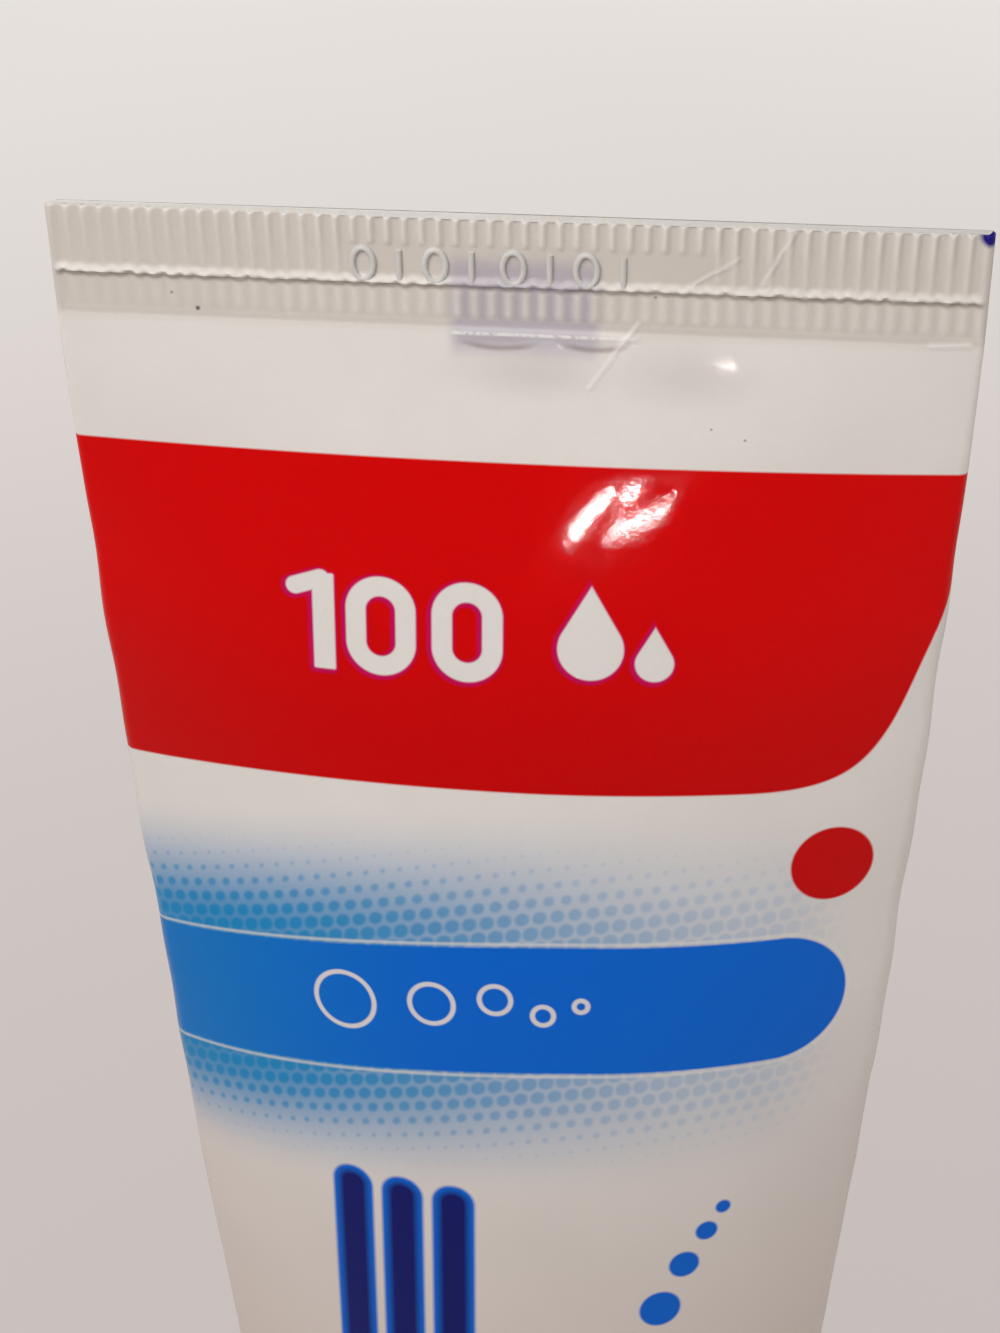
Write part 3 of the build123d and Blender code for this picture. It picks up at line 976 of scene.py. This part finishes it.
def film_hinge(material):
    """The thin living hinge between the cap base and its lid."""
    width, thickness, reach, steps = 8.6, 0.26, 0.42, 10
    outer = hinge_axis[1] - 0.06
    points, faces = [], []
    for step in range(steps + 1):
        share = step / steps
        height = hinge_axis[2] + reach * (1 - 2 * share)
        thin = thickness * (0.55 + 0.45 * abs(1 - 2 * share))
        for side, y in ((-1, outer), (1, outer), (1, outer - thin), (-1, outer - thin)):
            points.append((side * width / 2, y, height))
    for step in range(steps):
        for k in range(4):
            m = (k + 1) % 4
            faces.append([step * 4 + m, (step + 1) * 4 + m, (step + 1) * 4 + k, step * 4 + k])
    faces.append([3, 2, 1, 0])
    faces.append([steps * 4 + k for k in (0, 1, 2, 3)])
    hinge = mesh_object("film_hinge", points, faces, [material])
    hinge.data.set_sharp_from_angle(angle=math.radians(40))
    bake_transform(hinge)


def finish_node(name, material):
    """Gives a frame node its finish."""
    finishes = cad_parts[name].data.materials
    finishes.clear()
    finishes.append(material)


# ---- floor, lamps and camera
room_level, backdrop_level, mirrored_level = 0.21, 0.94, 0.34  # the room as light, as seen and in gloss


def pale_floor():
    """A plain pale floor that fades to the room's tone far off, with painted shade darkening it towards the
    middle, round the object, and keeps the object's shadow.
    """
    reach = 2500.0
    count = 64
    angles = [2 * math.pi * step / count for step in range(count)]
    rim = [(reach * math.cos(a), reach * math.sin(a), 0.0) for a in angles]
    material, tree, shader, place = new_material("floor_paint")
    x, y = parted(tree, place)[:2]
    far = hypot(x, y).step(0.05, 0.8)
    # Painted shade: the floor's tone darkens towards the middle, where the object stands.
    tone = paint(tree, linear(202, 193, 190), linear(252, 247, 243), far)
    tone = paint(tree, tone, linear(216, 208, 204), noise(tree, place, 3.0) * 0.3)
    tree.links.new(tone, shader.inputs["Base Color"])
    shader.inputs["Roughness"].default_value = 0.9
    shader.inputs["Specular IOR Level"].default_value = 0.0
    seen_as_backdrop(tree, tone, 0.82)
    floor = mesh_object("floor", rim, [list(range(count))], [material])


def rays(tree, *kinds):
    """1 for rays of each of these kinds."""
    path = tree.nodes.new("ShaderNodeLightPath")
    return [Field(tree, path.outputs[f"Is {kind} Ray"]) for kind in kinds]


def seen_as_backdrop(tree, tone, share):
    """Shows a share of a tone as it is, and leaves the rest to the lamps and the shadow."""
    seen, through = rays(tree, "Camera", "Transmission")
    glow = tree.nodes.new("ShaderNodeEmission")
    tree.links.new(tone, glow.inputs["Color"])
    both = tree.nodes.new("ShaderNodeMixShader")
    feed(tree, both.inputs[0], seen.most(through) * share)
    tree.links.new(tree.nodes["Principled BSDF"].outputs[0], both.inputs[1])
    tree.links.new(glow.outputs[0], both.inputs[2])
    tree.links.new(both.outputs[0], tree.nodes["Material Output"].inputs["Surface"])


def room_light():
    """Soft light from all round, behind a pale backdrop."""
    world = bpy.data.worlds.new("room")
    bpy.context.scene.world = world
    world.use_nodes = True
    tree = world.node_tree
    background = tree.nodes["Background"]
    background.inputs["Color"].default_value = linear(238, 232, 228)
    seen, glossy = rays(tree, "Camera", "Glossy")
    strength = seen * (backdrop_level - room_level) + glossy * (mirrored_level - room_level) + room_level
    feed(tree, background.inputs["Strength"], strength)


def lamp(name, place, target, size, power, tint=(1.0, 0.98, 0.95)):
    """A soft lamp, in millimetres and watts, that faces a target and isn't seen itself."""
    data = bpy.data.lights.new(name, "AREA")
    data.shape = "RECTANGLE"
    data.size = size[0] * MM
    data.size_y = size[1] * MM
    data.energy = power
    data.color = tint
    thing = new_object(name, data)
    place, target = Vector(place) * MM, Vector(target) * MM
    turn = (target - place).to_track_quat("-Z", "Y")
    thing.matrix_world = Matrix.Translation(place) @ turn.to_matrix().to_4x4()
    thing.visible_camera = False
    return thing


view_turn = math.radians(-7.99)
view_pitch = math.radians(31.75)
view_roll = math.radians(-0.98)
view_aside, view_back, view_rise = -0.92, 124.8, 47.0
focal_length = 62.1


def view_frame():
    """The camera's place in millimetres and its right, up and backward directions."""
    unturn = np.array([[math.cos(view_turn), math.sin(view_turn), 0],
                       [-math.sin(view_turn), math.cos(view_turn), 0], [0, 0, 1]])
    right = np.array([1.0, 0, 0])
    up = np.array([0, math.sin(view_pitch), math.cos(view_pitch)])
    forward = np.array([0, math.cos(view_pitch), -math.sin(view_pitch)])
    rolled_right = math.cos(view_roll) * right + math.sin(view_roll) * up
    rolled_up = -math.sin(view_roll) * right + math.cos(view_roll) * up
    place = np.array([view_aside, -view_back, top + view_rise])
    return unturn @ place, unturn @ rolled_right, unturn @ rolled_up, -(unturn @ forward)


def camera():
    place, right, up, back = view_frame()
    data = bpy.data.cameras.new("view")
    data.lens = focal_length
    data.sensor_width = 36.0
    data.clip_start = 0.01
    thing = new_object("view", data)
    axes = Matrix(np.column_stack([right, up, back]).tolist()).to_4x4()
    thing.matrix_world = Matrix.Translation(Vector(place * MM)) @ axes
    bpy.context.scene.camera = thing


def mirrored(spot_girth, spot_drop, eye):
    """A spot on the front wall and the direction in which it mirrors the eye."""

    def wall(u, v):
        places, outward = wall_ring(top - v, np.array([u / girth]), laminate)
        places = places + outward * wall_dents(np.array([u]), np.array([v]))[:, None]
        return np.array([*places[0], top - v])

    step = 0.25
    spot = wall(spot_girth, spot_drop)
    across = wall(spot_girth + step, spot_drop) - wall(spot_girth - step, spot_drop)
    upward = wall(spot_girth, spot_drop - step) - wall(spot_girth, spot_drop + step)
    outward = np.cross(across, upward)
    outward = outward / np.linalg.norm(outward)
    to_eye = (eye - spot) / np.linalg.norm(eye - spot)
    return spot, 2 * outward.dot(to_eye) * outward - to_eye


def glint(name, start, end, width, brightness):
    """A small lamp that the wall mirrors to the camera as a streak between two spots (girth, drop)."""
    reach = 420.0
    spread = math.radians(16.0)
    eye = view_frame()[0]
    middle = [(a + b) / 2 for a, b in zip(start, end)]
    spot, facing = mirrored(*middle, eye)
    centre = spot + facing * reach

    def on_lamp(u, v):
        place, direction = mirrored(u, v, eye)
        return place + direction * ((centre - place).dot(facing) / direction.dot(facing))

    first, last = on_lamp(*start), on_lamp(*end)
    long_side = np.linalg.norm(last - first)
    side = (last - first) / long_side
    length = math.hypot(end[0] - start[0], end[1] - start[1])
    aside = on_lamp(middle[0] - (end[1] - start[1]) / length * width / 2,
                    middle[1] + (end[0] - start[0]) / length * width / 2) - centre
    short_side = 2 * np.linalg.norm(aside - side * aside.dot(side))
    area = long_side * short_side * MM * MM
    power = brightness * math.pi * area * math.sin(spread / 2) ** 2
    centre = (first + last) / 2
    thing = lamp(name, centre, spot, (long_side, short_side), power)
    axes = Matrix(np.column_stack([side, np.cross(facing, side), facing]).tolist()).to_4x4()
    thing.matrix_world = Matrix.Translation(Vector(centre * MM)) @ axes
    thing.data.spread = spread


def lamps():
    lamp("key_lamp", (-70, -180, 340), (0, -5, 160), (200, 160), 0.51, (1.0, 0.985, 0.965))
    lamp("side_lamp", (330, -330, 420), (0, 0, 110), (260, 260), 0.14)
    lamp("right_lamp", (430, 90, 240), (0, 0, 110), (260, 260), 0.5)
    lamp("left_lamp", (-430, 90, 240), (0, 0, 110), (260, 260), 0.4)
    lamp("back_lamp", (-160, 380, 420), (0, 0, 110), (320, 320), 1.1)
    glint("glint_left", (3.85, 19.2), (6.25, 16.45), 0.5, 75)
    glint("glint_right", (6.1, 18.9), (9.65, 17.25), 0.4, 75)
    glint("glint_top", (6.9, 16.5), (7.8, 16.45), 0.6, 75)


# ---- the object
laminate_print = printed_laminate()
laminate_bare = laminate_inside()
cap_white = moulded_plastic("cap_plastic", linear(243, 242, 239), linear(233, 232, 229), 0.3, 700.0)
head_white = moulded_plastic("head_plastic", linear(240, 240, 234), linear(228, 229, 222), 0.4, 900.0)

sleeve_skin(laminate_print, laminate_bare)
stamp_marks(laminate_bare)
paste_fill(wet_paste())
thread("neck_thread", "tube", head_white,
       {"Radius": 6.62, "Turns": 1.6, "Start": 11.3, "Rise": 4.6, "Half Width": 0.52, "Half Depth": 0.55,
        "Turned": 0.0})
thread("collar_thread", "cap_base", cap_white,
       {"Radius": 7.62, "Turns": 1.3, "Start": 11.6, "Rise": 3.9, "Half Width": 0.34, "Half Depth": 0.5,
        "Turned": math.pi})
grip_ribs(cap_white)
film_hinge(cap_white)
finish_node("tube_head", head_white)
finish_node("cap_base", cap_white)
finish_node("cap_lid", cap_white)

pale_floor()
room_light()
camera()
lamps()
bpy.context.scene.view_settings.view_transform = "Standard"
